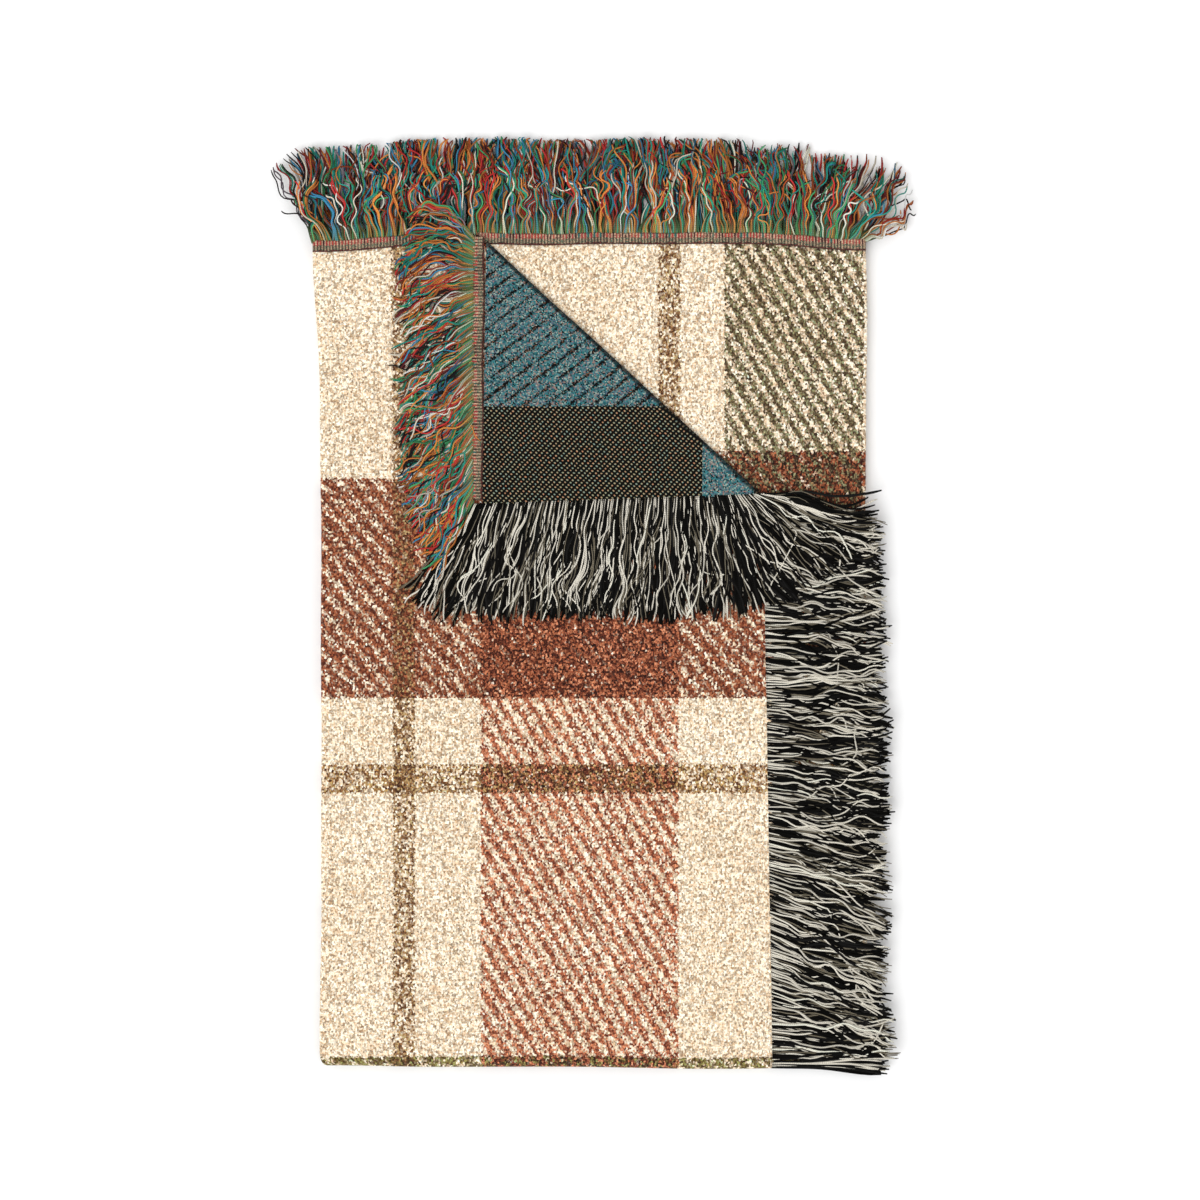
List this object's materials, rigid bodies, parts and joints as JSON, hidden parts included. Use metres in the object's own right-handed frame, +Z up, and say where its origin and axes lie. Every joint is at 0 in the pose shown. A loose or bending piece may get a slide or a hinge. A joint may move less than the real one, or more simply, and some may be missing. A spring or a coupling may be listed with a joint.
{
  "type": "folded throw blanket",
  "caption": "Rectangular woven cotton throw with fringe on all sides, folded lengthwise in thirds and then in half, one top corner turned down to show its dark reverse",
  "frame": {"origin": "middle of the whole outline, fringe included, on the surface that the stack lies on", "axes": "+X towards the right side fold, +Y towards the far end with the headers and warp fringe, +Z up"},
  "size_m": [0.499, 0.746, 0.0158],
  "materials": {
    "plaid_cloth": "coarse boucle plaid in cream, rust, brown and olive, matt",
    "olive_cloth": "coarse boucle plaid with an olive brown band, matt",
    "reverse_cloth": "coarse weave in black and slate blue, matt",
    "header_band": "close brown woven band with red, teal and cream flecks",
    "warp_yarn": "loose cotton yarns, red, teal, green, orange, black and cream",
    "weft_yarn": "loose cotton yarns, black and cream"
  },
  "bodies": {
    "lower_half": {"lower_left_panel": "plaid_cloth", "lower_right_panel": "plaid_cloth", "lower_centre_panel": "plaid_cloth", "lower_left_header": "header_band", "lower_right_header": "header_band", "lower_centre_header": "header_band", "lower_left_warp_fringe": "warp_yarn", "lower_right_warp_fringe": "warp_yarn", "lower_centre_warp_fringe": "warp_yarn", "lower_left_weft_fringe": "weft_yarn", "lower_right_weft_fringe": "weft_yarn", "lower_left_side_fold": "plaid_cloth", "lower_right_side_fold": "plaid_cloth", "left_half_fold": "olive_cloth", "right_half_fold": "olive_cloth", "centre_half_fold": "olive_cloth", "left_half_fold_fringe": "weft_yarn", "right_half_fold_fringe": "weft_yarn"},
    "upper_half": {"upper_left_panel": "plaid_cloth", "upper_right_panel": "plaid_cloth", "upper_centre_panel": "plaid_cloth", "upper_left_header": "header_band", "upper_right_header": "header_band", "upper_centre_header": "header_band", "upper_left_warp_fringe": "warp_yarn", "upper_right_warp_fringe": "warp_yarn", "upper_centre_warp_fringe": "warp_yarn", "upper_left_weft_fringe": "weft_yarn", "upper_right_weft_fringe": "weft_yarn", "upper_left_side_fold": "plaid_cloth", "upper_right_side_fold": "plaid_cloth", "corner_crease": "plaid_cloth"},
    "turned_corner": {"corner_flap": "reverse_cloth", "corner_header": "header_band", "corner_warp_fringe": "warp_yarn", "corner_weft_fringe": "weft_yarn"}
  },
  "joints": [
    {"name": "half_fold", "type": "hinge", "parent": "lower_half", "child": "upper_half", "pos_m": [-0.2205, -0.36625, 0.00675], "axis": [1, 0, 0], "range_deg": [0, 180], "deforming": ["left_half_fold", "right_half_fold", "centre_half_fold", "left_half_fold_fringe", "right_half_fold_fringe"]},
    {"name": "corner_turn", "type": "hinge", "parent": "upper_half", "child": "turned_corner", "pos_m": [-0.0875, 0.287, 0.01365], "axis": [-0.7353, 0.6778, 0], "range_deg": [0, 180], "deforming": ["corner_crease"]}
  ]
}
